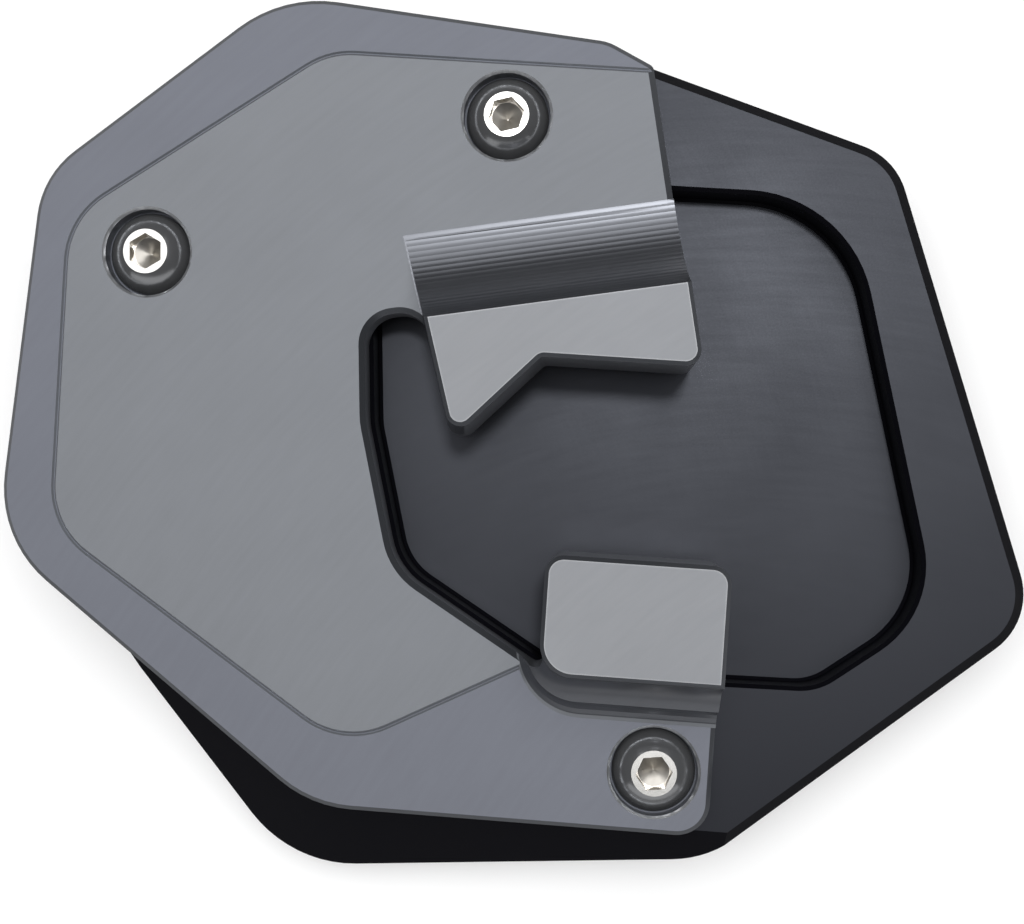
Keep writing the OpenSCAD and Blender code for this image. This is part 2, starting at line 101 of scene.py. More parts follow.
class EnlargerFinish(bpy.types.PropertyGroup):
    """Colours and grain of the metals."""

    black_anodising: bpy.props.StringProperty(
        name="Black anodising", description="Colour of the base plate's oxide, as sRGB hex", default="0c0c10")
    panel_gray: bpy.props.StringProperty(
        name="Panel gray", description="Colour of the clamp plate's raised panel, as sRGB hex",
        default="7a7d82")
    border_gray: bpy.props.StringProperty(
        name="Border gray", description="Colour of the border round the panel, as sRGB hex", default="6f727b")
    boss_gray: bpy.props.StringProperty(
        name="Boss gray", description="Colour of the tops of the hook and the lug, as sRGB hex",
        default="8b8d91")
    # Painted highlight: a light colour laid along the edges of the hook and the lug
    edge_highlight_gray: bpy.props.StringProperty(
        name="Edge gray", description="Colour of the rubbed edges of the hook and the lug, as sRGB hex",
        default="b0b2b5")
    cut_gray: bpy.props.StringProperty(
        name="Cut gray", description="Colour of the clamp plate's upright walls, as sRGB hex",
        default="75777c")
    flank_gray: bpy.props.StringProperty(
        name="Flank gray", description="Colour of the hook's ball-milled flank, as sRGB hex",
        default="626469")
    # Painted shade: a gray darker than the other cut walls, for the lug's hollow root and the hook's left
    # side
    root_shade_gray: bpy.props.StringProperty(
        name="Root gray", description="Colour of the lug's hollow root and the hook's left side, as sRGB hex",
        default="484a4f")
    # Painted shade: the chamfers' oxide is darkened, standing in for the dark that they mirror
    chamfer_shade_gray: bpy.props.StringProperty(
        name="Chamfer gray", description="Colour of the clamp plate's chamfers, as sRGB hex",
        default="434549")
    bare_aluminium: bpy.props.StringProperty(
        name="Bare aluminium", description="Colour of the counterbores' edges, cut later, as sRGB hex",
        default="b0b2b5")
    turned_steel: bpy.props.StringProperty(
        name="Turned steel", description="Colour of the screws' rings and threads, as sRGB hex",
        default="cfcecb")
    # Painted shade: the domes' steel is darkened, standing in for the dark that they mirror
    dome_steel_painted_dark: bpy.props.StringProperty(
        name="Headed steel", description="Colour of the screws' domes, as sRGB hex", default="6d6e70")
    broached_steel: bpy.props.StringProperty(
        name="Broached steel", description="Colour inside the screws' sockets, as sRGB hex", default="cdc9c2")
    smooth_angle: bpy.props.FloatProperty(
        name="Smooth angle", description="Faces that meet at less than this are shaded as one curve",
        default=math.radians(11), min=0.0, max=math.pi, subtype="ANGLE")
    # Real pits, marks and grains are 0.05 to 0.2 mm, under two pixels. All four are drawn coarser, to show
    blast_grain: bpy.props.FloatProperty(
        name="Blast grain", description="Size of the pits that the glass beads leave, drawn coarse",
        default=0.25 * MM, unit="LENGTH")
    mill_spacing: bpy.props.FloatProperty(
        name="Mill spacing", description="Distance between two of the end mill's marks, drawn coarse",
        default=0.9 * MM, unit="LENGTH")
    side_grain: bpy.props.FloatProperty(
        name="Side grain", description="Grain of walls and chamfers cut by the mill's side, drawn coarse",
        default=0.833 * MM, unit="LENGTH")
    steel_grain: bpy.props.FloatProperty(
        name="Steel grain", description="Grain that turning, heading and broaching leave, drawn coarse",
        default=0.4 * MM, unit="LENGTH")
    black_cloud: bpy.props.FloatProperty(
        name="Black cloud", description="Size of the clouds where the black oxide took unevenly",
        default=22.2 * MM, unit="LENGTH")
    gray_cloud: bpy.props.FloatProperty(
        name="Gray cloud", description="Size of the clouds where the gray oxide took unevenly",
        default=16.7 * MM, unit="LENGTH")


class EnlargerScrew(bpy.types.PropertyGroup):
    """Sizes of the M6 button head screws."""

    head_diameter: bpy.props.FloatProperty(
        name="Head diameter", description="Diameter of the head", default=10.5 * MM, unit="LENGTH")
    head_height: bpy.props.FloatProperty(
        name="Head height", description="Height of the head", default=3.3 * MM, unit="LENGTH")
    flat_diameter: bpy.props.FloatProperty(
        name="Flat diameter", description="Diameter of the flat ring on the head", default=5.65 * MM,
        unit="LENGTH")
    rim_height: bpy.props.FloatProperty(
        name="Rim height", description="Height of the upright rim under the dome", default=0.4 * MM,
        unit="LENGTH")
    socket_width: bpy.props.FloatProperty(
        name="Socket width", description="Width of the socket across its flats",
        default=4.0 * MM, unit="LENGTH")
    socket_depth: bpy.props.FloatProperty(
        name="Socket depth", description="Depth of the socket's flats", default=2.1 * MM, unit="LENGTH")
    thread_diameter: bpy.props.FloatProperty(
        name="Thread diameter", description="Diameter over the thread's crests",
        default=6.0 * MM, unit="LENGTH")
    thread_root: bpy.props.FloatProperty(
        name="Thread root", description="Diameter at the thread's root", default=4.8 * MM, unit="LENGTH")
    thread_pitch: bpy.props.FloatProperty(
        name="Thread pitch", description="Distance from one turn to the next",
        default=1.0 * MM, unit="LENGTH")
    length: bpy.props.FloatProperty(
        name="Length", description="Length under the head", default=10.0 * MM, unit="LENGTH")
    segments: bpy.props.IntProperty(
        name="Segments", description="Sides of everything turned", default=96, min=24)


class EnlargerStage(bpy.types.PropertyGroup):
    """The camera and the lamps."""

    floor_size: bpy.props.FloatProperty(
        name="Floor size", description="Length of each side of the floor", default=3.0, unit="LENGTH")
    camera_place: bpy.props.FloatVectorProperty(
        name="Camera place", description="Where the camera hangs, nearly straight above the part",
        default=(0.011396, -0.0064, 0.212), size=3, unit="LENGTH")
    camera_aim: bpy.props.FloatVectorProperty(
        name="Camera aim", description="The point that lies in the middle of the picture",
        default=(0.000116, -0.00281, 0.012), size=3, unit="LENGTH")
    focal_px: bpy.props.FloatProperty(
        name="Focal length", description="Focal length, in pixels of a picture 1024 wide", default=1562.7)
    softbox_power: bpy.props.FloatProperty(
        name="Softbox power", description="Power of the large soft lamp overhead",
        default=15.0, subtype="POWER")
    key_power: bpy.props.FloatProperty(
        name="Key power", description="Power of the small lamp that gives the shadows", default=8.0,
        subtype="POWER")
    fill_power: bpy.props.FloatProperty(
        name="Fill power", description="Power of the low strip in front", default=3.2, subtype="POWER")
    room: bpy.props.FloatProperty(
        name="Room", description="Brightness of the dim room round the lamps", default=0.07)
    floor_white: bpy.props.StringProperty(
        name="Floor white", description="Colour of the floor, as sRGB hex", default="fdfdfd")


def linear(hex_colour):
    """Turns an sRGB hex colour to linear RGBA."""
    channels = [int(hex_colour[i:i + 2], 16) / 255 for i in (0, 2, 4)]
    return tuple(c / 12.92 if c <= 0.04045 else ((c + 0.055) / 1.055) ** 2.4 for c in channels) + (1.0,)


def add(tree, kind, inputs=(), **settings):
    """Adds a node with its settings and links, and gives its outputs.

    INPUTS holds numbers, colours and other nodes' outputs, in the order of the sockets, or as a dict by the
    sockets' names or numbers.
    """
    node = tree.nodes.new("ShaderNode" + kind)
    for name, value in settings.items():
        setattr(node, name, value)
    for socket, value in inputs.items() if isinstance(inputs, dict) else enumerate(inputs):
        if isinstance(value, bpy.types.NodeSocket):
            tree.links.new(value, node.inputs[socket])
        else:
            node.inputs[socket].default_value = value
    return node.outputs


def new_material(name):
    """Gives an empty node material and its tree."""
    material = bpy.data.materials.new(name)
    material.use_nodes = True
    material.node_tree.nodes.clear()
    return material, material.node_tree


def mill_marks(tree, place, centre, spacing, length):
    """Broken streaks along arcs round CENTRE, as an end mill leaves them: SPACING apart, and LENGTH long."""
    moved = add(tree, "VectorMath", (place, centre), operation="SUBTRACT")[0]
    reach = add(tree, "VectorMath", (moved,), operation="LENGTH")["Value"]
    x, y, _ = add(tree, "SeparateXYZ", (moved,))
    angle = add(tree, "Math", (y, x), operation="ARCTAN2")[0]
    across = add(tree, "Math", (reach, 1 / spacing), operation="MULTIPLY")[0]
    along = add(tree, "Math", (angle, Vector(centre).length / length), operation="MULTIPLY")[0]
    grid = add(tree, "CombineXYZ", (across, along))[0]
    return add(tree, "TexNoise", {"Vector": grid, "Scale": 1.0, "Detail": 2.0})["Fac"]


def ball_mill_ridges(tree, place, normal):
    """Gives the ridges that a ball mill leaves on the hook's flank, and a mask of the flank.

    The ridges rise to 1 between two passes and are 0 elsewhere. The mask is 1 on the flank.
    """
    outward, sideways, left = [(math.cos(angle), math.sin(angle), 0.0)
                               for angle in (FLANK_ANGLE, FLANK_ANGLE + TURN / 4, HOOK_LEFT_ANGLE)]
    reach = add(tree, "VectorMath", (place, outward), operation="DOT_PRODUCT")["Value"]
    across = add(tree, "VectorMath", (place, left), operation="DOT_PRODUCT")["Value"]
    aside = add(tree, "VectorMath", (normal, sideways), operation="DOT_PRODUCT")["Value"]
    aside = add(tree, "Math", (aside,), operation="ABSOLUTE")[0]
    height = add(tree, "SeparateXYZ", (place,))["Z"]

    # The flank is an arc that starts level at its foot. The angle along it is counted in passes, and each
    # pass runs from -1 at one ridge to 1 at the next
    run, rise = FLANK_FOOT - FLANK_RIDGE, BOSS_TOP - PLATE_TOP
    sweep = 2 * math.atan(rise / run)
    radius = run / math.sin(sweep)
    within_pass = reach
    for operation, *values in (("MULTIPLY_ADD", -1 / radius, FLANK_FOOT / radius), ("ARCSINE",),
                               ("MULTIPLY", FLANK_PASSES / sweep), ("FRACT",), ("MULTIPLY_ADD", 2.0, -1.0)):
        within_pass = add(tree, "Math", (within_pass, *values), operation=operation)[0]
    ridges = add(tree, "Math", (within_pass, within_pass), operation="MULTIPLY")[0]

    # Just above the plate and below the boss's top, between foot and ridge, on the hook, and facing its way
    most_aside = 0.2
    mask = 1.0
    for operation, value, limit in (("GREATER_THAN", height, PLATE_TOP - 0.02 * MM),
                                    ("LESS_THAN", height, BOSS_TOP - 0.01 * MM),
                                    ("LESS_THAN", reach, FLANK_FOOT), ("GREATER_THAN", reach, FLANK_RIDGE),
                                    ("LESS_THAN", across, HOOK_LEFT), ("LESS_THAN", aside, most_aside)):
        inside = add(tree, "Math", (value, limit), operation=operation)[0]
        mask = add(tree, "Math", (inside, mask), operation="MULTIPLY")[0]
    return add(tree, "Math", (ridges, mask), operation="MULTIPLY")[0], mask


def counterbore_edge(tree, place):
    """Is 1 at the top of the three counterbores and on the narrow chamfers round them."""
    level = add(tree, "VectorMath", (place, (1.0, 1.0, 0.0)), operation="MULTIPLY")[0]
    near_any = 0.0
    for axis in SCREW_AXES:
        reach = add(tree, "VectorMath", (level, axis), operation="DISTANCE")["Value"]
        near = add(tree, "Math", (reach, EDGE_REACH), operation="LESS_THAN")[0]
        near_any = add(tree, "Math", (near, near_any), operation="MAXIMUM")[0]
    height = add(tree, "SeparateXYZ", (place,))["Z"]
    high_up = add(tree, "Math", (height, PLATE_TOP - 0.5 * MM), operation="GREATER_THAN")[0]
    return add(tree, "Math", (near_any, high_up), operation="MULTIPLY")[0]


def flat_mask(tree):
    """Is 1 on faces that lie flat and look up, and 0 on walls, chamfers and flanks."""
    # Cosines of 22 and 10 degrees from level
    slanted, level = 0.93, 0.985
    normal = add(tree, "NewGeometry")["Normal"]
    upward = add(tree, "SeparateXYZ", (normal,))["Z"]
    return add(tree, "MapRange", {"Value": upward, "From Min": slanted, "From Max": level})["Result"]


def black_anodised_aluminium(finish):
    """Face milled and anodised black: a nearly black satin, with faint broken arcs and clouds in it."""
    material, tree = new_material("black_anodised_aluminium_milled")
    place = add(tree, "TexCoord")["Object"]
    marks = add(tree, "TexNoise", {"Vector": place, "Scale": 1 / finish.black_cloud, "Detail": 3.0})["Fac"]
    # Two runs of the mill: the middle of their arcs, the spacing and length of their marks, and their share
    runs = (((30 * MM, -90 * MM, 0.0), finish.mill_spacing, 9 * MM, 0.4),
            ((-80 * MM, -30 * MM, 0.0), finish.mill_spacing * 0.7, 6 * MM, 0.15))
    for centre, spacing, length, share in runs:
        streaks = mill_marks(tree, place, centre, spacing, length)
        marks = add(tree, "Math", (streaks, share, marks), operation="MULTIPLY_ADD")[0]
    grain = add(tree, "TexNoise", {"Vector": place, "Scale": 1 / finish.blast_grain, "Detail": 2.0})["Fac"]
    grain_share = 0.45
    marks = add(tree, "Math", (grain, grain_share, marks), operation="MULTIPLY_ADD")[0]
    # The sum of the patterns stays between 0.65 and 1.35, and moves the satin a little
    satin = add(tree, "MapRange", {"Value": marks, "From Min": 0.65, "From Max": 1.35,
                                   "To Min": 0.355, "To Max": 0.445})["Result"]
    rough = add(tree, "MapRange", {"Value": flat_mask(tree), "To Min": 0.2, "To Max": satin})["Result"]
    bump = add(tree, "Bump", {"Height": marks, "Strength": 0.2, "Distance": 0.004 * MM})["Normal"]
    # The oxide's own shine is a little blue
    shader = add(tree, "BsdfPrincipled",
                 {"Base Color": linear(finish.black_anodising), "Metallic": 0.0, "Roughness": rough,
                  "Specular IOR Level": 0.3, "Specular Tint": (0.89, 0.94, 1.08, 1.0), "Normal": bump})[0]
    add(tree, "OutputMaterial", {"Surface": shader})
    return material


def black_anodised_sides(finish):
    """Side milled and anodised black: walls and bevels that drink the light, and stay black by the floor."""
    material, tree = new_material("black_anodised_aluminium_side_milled")
    place = add(tree, "TexCoord")["Object"]
    grain = add(tree, "TexNoise", {"Vector": place, "Scale": 1 / finish.side_grain, "Detail": 2.0})["Fac"]
    rough = add(tree, "MapRange", {"Value": grain, "To Min": 0.3, "To Max": 0.4})["Result"]
    shader = add(tree, "BsdfPrincipled",
                 {"Base Color": linear(finish.black_anodising), "Metallic": 0.0, "Roughness": rough,
                  "Specular IOR Level": 0.02})[0]
    add(tree, "OutputMaterial", {"Surface": shader})
    return material


def gray_anodised_aluminium(finish):
    """Blasted and anodised gray: an even satin with a fine grain, shinier and darker where a mill cut it,
    with painted shade on the lug's hollow root and the hook's left side, and a painted highlight along the
    bosses' edges.
    """
    material, tree = new_material("gray_anodised_aluminium_bead_blasted")
    place = add(tree, "TexCoord")["Object"]
    normal = add(tree, "NewGeometry")["True Normal"]
    height = add(tree, "SeparateXYZ", (place,))["Z"]
    upward = add(tree, "SeparateXYZ", (normal,))["Z"]

    # Where each surface is, as masks: flank, level faces, bared edges, panel, bosses, groove, leaning walls
    ridges, on_flank = ball_mill_ridges(tree, place, normal)
    off_flank = add(tree, "Math", (1.0, on_flank), operation="SUBTRACT")[0]
    flat = add(tree, "Math", (flat_mask(tree), off_flank), operation="MULTIPLY")[0]
    not_flat = add(tree, "Math", (1.0, flat), operation="SUBTRACT")[0]
    bare = add(tree, "Math", (counterbore_edge(tree, place), not_flat), operation="MULTIPLY")[0]
    on_panel, on_boss = [
        add(tree, "MapRange", {"Value": height, "From Min": none, "From Max": full})["Result"]
        for none, full in ((PLATE_TOP - 0.15 * MM, PLATE_TOP - 0.05 * MM),
                           (BOSS_TOP - 0.2 * MM, BOSS_TOP - 0.05 * MM))]
    # The groove's walls look up by more than 0.3. Above the plate the hook's left side and the lug's hollow
    # root look up by more than 0.05, which the upright walls don't
    in_groove = add(tree, "Math", (upward, 0.3), operation="GREATER_THAN")[0]
    not_upright = add(tree, "Math", (upward, 0.05), operation="GREATER_THAN")[0]
    over_plate = add(tree, "Math", (height, PLATE_TOP + 0.02 * MM), operation="GREATER_THAN")[0]
    leaning = add(tree, "Math", (not_upright, over_plate), operation="MULTIPLY")[0]

    # A painted highlight makes the edges of the two bosses light, over about the radius of the rounded normal
    rounded = add(tree, "Bevel", {"Radius": 0.3 * MM}, samples=6)["Normal"]
    turned_by = add(tree, "VectorMath", (rounded, normal), operation="DOT_PRODUCT")["Value"]
    near_edge = add(tree, "MapRange", {"Value": turned_by, "From Min": 0.999, "From Max": 0.96})["Result"]
    highlighted = add(tree, "Math", (near_edge, on_boss), operation="MULTIPLY")[0]

    # Colours of the level faces and of the cut ones, each laid over those before it. A Mix node takes its
    # two colours at sockets 6 and 7, and gives the mixed one at output 2
    face, cut = linear(finish.border_gray), linear(finish.cut_gray)
    for mask, colour in ((on_panel, finish.panel_gray), (on_boss, finish.boss_gray),
                         (highlighted, finish.edge_highlight_gray)):
        face = add(tree, "Mix", {0: mask, 6: face, 7: linear(colour)}, data_type="RGBA")[2]
    # On the leaning faces the root gray is painted shade, darker than the other cut walls
    for mask, colour in ((in_groove, finish.panel_gray), (leaning, finish.root_shade_gray),
                         (on_flank, finish.flank_gray)):
        cut = add(tree, "Mix", {0: mask, 6: cut, 7: linear(colour)}, data_type="RGBA")[2]
    shade = add(tree, "Mix", {0: flat, 6: cut, 7: face}, data_type="RGBA")[2]
    shade = add(tree, "Mix", {0: bare, 6: shade, 7: linear(finish.bare_aluminium)}, data_type="RGBA")[2]

    # Clouds in the oxide, and what the blasting left of the mill's marks, spaced coarsely enough to show.
    # Together they move the colour by less than a twentieth
    cloud = add(tree, "TexNoise", {"Vector": place, "Scale": 1 / finish.gray_cloud, "Detail": 4.0})["Fac"]
    streaks = mill_marks(tree, place, (100 * MM, -120 * MM, 0.0), 0.8 * MM, 7 * MM)
    marks = add(tree, "Math", (cloud, streaks), operation="ADD")[0]
    mottle = add(tree, "MapRange", {"Value": marks, "From Min": 0.6, "From Max": 1.4,
                                    "To Min": 0.955, "To Max": 1.045})["Result"]
    toned = add(tree, "VectorMath", {0: shade, "Scale": mottle}, operation="SCALE")[0]

    # Walls are smoother than blasted faces. The bared edges and the flank are smooth, and nearly bare metal
    rough = 0.3
    for mask, roughness in ((flat, 0.66), (bare, 0.38), (on_flank, 0.36)):
        rough = add(tree, "MapRange", {"Value": mask, "To Min": rough, "To Max": roughness})["Result"]
    polished = add(tree, "Math", (on_flank, bare), operation="MAXIMUM")[0]
    metal = add(tree, "MapRange", {"Value": polished, "To Min": 0.45, "To Max": 0.9})["Result"]
    grain = add(tree, "TexNoise", {"Vector": place, "Scale": 1 / finish.blast_grain, "Detail": 1.0})["Fac"]
    fine = add(tree, "Bump", {"Height": grain, "Strength": 0.08, "Distance": 0.02 * MM})["Normal"]
    bump = add(tree, "Bump",
               {"Height": ridges, "Strength": 1.0, "Distance": 0.019 * MM, "Normal": fine})["Normal"]
    shader = add(tree, "BsdfPrincipled",
                 {"Base Color": toned, "Metallic": metal, "Roughness": rough, "Normal": bump})[0]
    add(tree, "OutputMaterial", {"Surface": shader})
    return material


def gray_anodised_chamfers(finish):
    """Chamfered and anodised gray: a smooth cut that gives little light back, in a colour darkened as painted
    shade for the dark that the chamfers mirror, a dark line round the plate.
    """
    material, tree = new_material("gray_anodised_aluminium_chamfered")
    place = add(tree, "TexCoord")["Object"]
    grain = add(tree, "TexNoise", {"Vector": place, "Scale": 1 / finish.side_grain, "Detail": 2.0})["Fac"]
    rough = add(tree, "MapRange", {"Value": grain, "To Min": 0.25, "To Max": 0.35})["Result"]
    shader = add(tree, "BsdfPrincipled",
                 {"Base Color": linear(finish.chamfer_shade_gray), "Metallic": 0.45, "Roughness": rough,
                  "Specular IOR Level": 0.1})[0]
    add(tree, "OutputMaterial", {"Surface": shader})
    return material


def stainless_steel(name, grain_size, colour, metallic, smoothest, roughest):
    """Stainless steel, bright or dull by the tool that shaped it, with a trace of that tool's grain."""
    material, tree = new_material(name)
    place = add(tree, "TexCoord")["Object"]
    grain = add(tree, "TexNoise", {"Vector": place, "Scale": 1 / grain_size, "Detail": 2.0})["Fac"]
    rough = add(tree, "MapRange", {"Value": grain, "To Min": smoothest, "To Max": roughest})["Result"]
    shader = add(tree, "BsdfPrincipled",
                 {"Base Color": linear(colour), "Metallic": metallic, "Roughness": rough})[0]
    add(tree, "OutputMaterial", {"Surface": shader})
    return material


def side_of_base(face):
    """Tells whether FACE is a wall or a bevel of the base plate: anything 18 degrees or more from level."""
    return abs(face.normal.z) < 0.95


def chamfer_of_clamp(face):
    """Tells whether FACE is a chamfer round the clamp plate, the hook or the lug."""
    height = face.center.z
    round_a_boss = height > BOSS_TOP - 0.5 * MM
    round_the_plate = height < PLATE_TOP - 0.2 * MM
    at_45_degrees = 0.65 < face.normal.z < 0.75
    return at_45_degrees and (round_a_boss or round_the_plate) and not in_counterbore(face.center)


def in_counterbore(place):
    """Tells whether PLACE lies in one of the three counterbores, or on its edge."""
    return any(math.hypot(place.x - x, place.y - y) < EDGE_REACH for x, y, _ in SCREW_AXES)


def shaded_copy(node_name, materials, takes_second, smooth_angle):
    """Copies a CAD node, merges its triangles and shades it.

    TAKES_SECOND tells which faces get the second of the two materials.
    """
    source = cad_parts[node_name]
    piece = bpy.data.objects.new(node_name + "_finished", source.data.copy())
    bpy.context.scene.collection.objects.link(piece)
    select_only(piece)
    bpy.ops.object.mode_set(mode="EDIT")
    bpy.ops.mesh.select_all(action="SELECT")
    bpy.ops.mesh.remove_doubles(threshold=MERGE_GAP)
    bpy.ops.object.mode_set(mode="OBJECT")
    drop_loose_slivers(piece.data)
    bpy.ops.object.mode_set(mode="EDIT")
    bpy.ops.mesh.select_all(action="SELECT")
    bpy.ops.mesh.dissolve_limited(angle_limit=LEVEL_ANGLE)
    bpy.ops.object.mode_set(mode="OBJECT")
    mark_sharp_edges(piece.data, smooth_angle)
    piece.data.materials.clear()
    for material in materials:
        piece.data.materials.append(material)
    for face in piece.data.polygons:
        face.material_index = int(takes_second(face))
    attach(piece, "root")
    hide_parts(node_name)


def drop_loose_slivers(mesh):
    """Deletes tiny triangles on edges that aren't between two faces, so that every edge then is."""
    shape = bmesh.new()
    shape.from_mesh(mesh)
    slivers = [face for face in shape.faces
               if face.calc_area() < SLIVER_AREA and any(len(edge.link_faces) != 2 for edge in face.edges)]
    bmesh.ops.delete(shape, geom=slivers, context="FACES")
    shape.to_mesh(mesh)
    shape.free()


def mark_sharp_edges(mesh, smooth_angle):
    """Makes edges sharp where faces meet at more than SMOOTH_ANGLE, and all round every large flat face."""
    shape = bmesh.new()
    shape.from_mesh(mesh)
    for face in shape.faces:
        face.smooth = True
    for edge in shape.edges:
        if len(edge.link_faces) != 2:
            continue
        angle = edge.calc_face_angle()
        largest = max(face.calc_area() for face in edge.link_faces)
        beside_flat = largest > FLAT_AREA and angle > FLAT_ANGLE
        edge.smooth = not (angle > smooth_angle or beside_flat)
    shape.to_mesh(mesh)
    shape.free()


def select_only(piece):
    """Deselects everything, then selects PIECE and makes it active."""
    bpy.ops.object.select_all(action="DESELECT")
    piece.select_set(True)
    bpy.context.view_layer.objects.active = piece


class ENLARGER_OT_base_plate(bpy.types.Operator):
    """Gives the base plate its milled black finish"""

    bl_idname = "enlarger.base_plate"
    bl_label = "Base Plate"

    def execute(self, context):
        finish = context.scene.enlarger_finish
        shaded_copy("base_plate",
                    [black_anodised_aluminium(finish), black_anodised_sides(finish)],
                    side_of_base, finish.smooth_angle)
        return {"FINISHED"}


class ENLARGER_OT_clamp_plate(bpy.types.Operator):
    """Gives the clamp plate its blasted gray finish"""

    bl_idname = "enlarger.clamp_plate"
    bl_label = "Clamp Plate"

    def execute(self, context):
        finish = context.scene.enlarger_finish
        shaded_copy("clamp_plate",
                    [gray_anodised_aluminium(finish), gray_anodised_chamfers(finish)],
                    chamfer_of_clamp, finish.smooth_angle)
        return {"FINISHED"}


def chain_of_points(name, points):
    """Draws an open chain of edges in the XZ plane, one extrude after the other, and stays in edit mode."""
    bpy.ops.object.select_all(action="DESELECT")
    bpy.ops.mesh.primitive_plane_add(size=MM, location=(0, 0, 0))
    piece = bpy.context.object
    piece.name = name
    bpy.ops.object.mode_set(mode="EDIT")
    bpy.ops.mesh.select_all(action="SELECT")
    bpy.ops.mesh.merge(type="CENTER")
    bpy.ops.transform.translate(value=(points[0][0], 0, points[0][1]))
    for (x0, z0), (x1, z1) in zip(points, points[1:]):
        bpy.ops.mesh.extrude_region_move(TRANSFORM_OT_translate={"value": (x1 - x0, 0, z1 - z0)})
    return piece


def dome_points(screw, steps=16):
    """The dome's arc, from the top of the rim in to the edge of the flat ring."""
    head, flat = screw.head_diameter / 2, screw.flat_diameter / 2
    rise = screw.head_height - screw.rim_height
    drop = (head ** 2 - flat ** 2 - rise ** 2) / (2 * rise)
    radius = math.hypot(head, drop)
    first, last = math.asin(head / radius), math.asin(flat / radius)
    angles = [first + (last - first) * k / steps for k in range(steps + 1)]
    return [(radius * math.sin(a), screw.rim_height - drop + radius * math.cos(a)) for a in angles]


def turned_blank(screw):
    """Spins the screw's half section: point, core, neck, underside, rim, dome and flat."""
    core, crest = screw.thread_root / 2, screw.thread_diameter / 2
    head = screw.head_diameter / 2
    point = core * 0.8
    underside_chamfer = 0.12 * MM
    section = [(0, -screw.length), (point, -screw.length), (core, -screw.length + core - point),
               (core, -screw.thread_pitch), (crest, -screw.thread_pitch + crest - core), (crest, 0),
               (head - underside_chamfer, 0), (head, underside_chamfer),
               *dome_points(screw), (0, screw.head_height)]
    blank = chain_of_points("screw_blank", section)
    bpy.ops.mesh.select_all(action="SELECT")
    bpy.ops.mesh.spin(steps=screw.segments, angle=TURN, center=(0, 0, 0), axis=(0, 0, 1))
    bpy.ops.mesh.select_all(action="SELECT")
    bpy.ops.mesh.remove_doubles(threshold=TURNED_GAP)
    bpy.ops.mesh.normals_make_consistent(inside=False)
    bpy.ops.object.mode_set(mode="OBJECT")
    return blank


def thread_ridge(screw):
    """Winds a 60 degree ridge round the core, from the point to the neck."""
    # The ridge's foot is sunk a little in the core, so that the two overlap and join cleanly
    sunk = 0.08 * MM
    crest, inner = screw.thread_diameter / 2, screw.thread_root / 2 - sunk
    half_foot, half_crest = 0.44 * screw.thread_pitch, 0.06 * screw.thread_pitch
    start = -screw.length + half_foot + 0.1 * MM
    ridge = chain_of_points("thread_ridge", [(inner, start - half_foot), (crest, start - half_crest),
                                             (crest, start + half_crest), (inner, start + half_foot)])
    bpy.ops.mesh.select_all(action="SELECT")
    bpy.ops.mesh.edge_face_add()
    bpy.ops.mesh.delete(type="ONLY_FACE")
    bpy.ops.object.mode_set(mode="OBJECT")
    winding = ridge.modifiers.new("winding", "SCREW")
    # A pitch and a half stays plain, for the neck and the point
    plain = 1.5 * screw.thread_pitch
    winding.iterations = int((screw.length - plain) / screw.thread_pitch)
    winding.screw_offset = screw.thread_pitch
    winding.steps = winding.render_steps = screw.segments // 2
    winding.use_merge_vertices = False
    bpy.ops.object.modifier_apply(modifier="winding")
    bpy.ops.object.mode_set(mode="EDIT")
    bpy.ops.mesh.select_all(action="SELECT")
    bpy.ops.mesh.remove_doubles(threshold=TURNED_GAP)
    bpy.ops.mesh.select_all(action="SELECT")
    bpy.ops.mesh.fill_holes(sides=0)
    bpy.ops.mesh.select_all(action="SELECT")
    bpy.ops.mesh.normals_make_consistent(inside=False)
    bpy.ops.object.mode_set(mode="OBJECT")
    return ridge


def combine(piece, tool, operation):
    """Joins TOOL to PIECE, or cuts it out, and deletes TOOL."""
    select_only(piece)
    step = piece.modifiers.new(tool.name, "BOOLEAN")
    step.operation = operation
    step.solver = "EXACT"
    step.object = tool
    bpy.ops.object.modifier_apply(modifier=step.name)
    bpy.data.objects.remove(tool)


def socket_tools(screw):
    """The broach's hexagon, and the cone that the drill leaves below it."""
    corner = screw.socket_width / 2 / math.cos(TURN / 12)
    top = screw.head_height
    # The broach stands out above the head, and the drill's cone runs a little way up into the hexagon
    spare = MM
    drill_tip = 0.06 * MM
    cone = corner * 0.45
    overlap = cone * 0.04
    bpy.ops.object.select_all(action="DESELECT")
    bpy.ops.mesh.primitive_cylinder_add(
        vertices=6, radius=corner, depth=screw.socket_depth + spare,
        location=(0, 0, top + (spare - screw.socket_depth) / 2))
    broach = bpy.context.object
    bpy.ops.mesh.primitive_cone_add(
        vertices=screw.segments, radius1=drill_tip, radius2=screw.socket_width / 2 + overlap,
        depth=cone + overlap, location=(0, 0, top - screw.socket_depth - (cone - overlap) / 2))
    return broach, bpy.context.object


def sort_faces(mesh, screw):
    """Gives the dome the second material and the socket the third. Flat ring and thread keep the first."""
    for face in mesh.polygons:
        reach, height = math.hypot(face.center.x, face.center.y), face.center.z
        below_the_ring = height < screw.head_height - 0.02 * MM
        if height > 0 and reach > screw.flat_diameter / 2:
            face.material_index = 1
        elif height > 0 and below_the_ring:
            face.material_index = 2


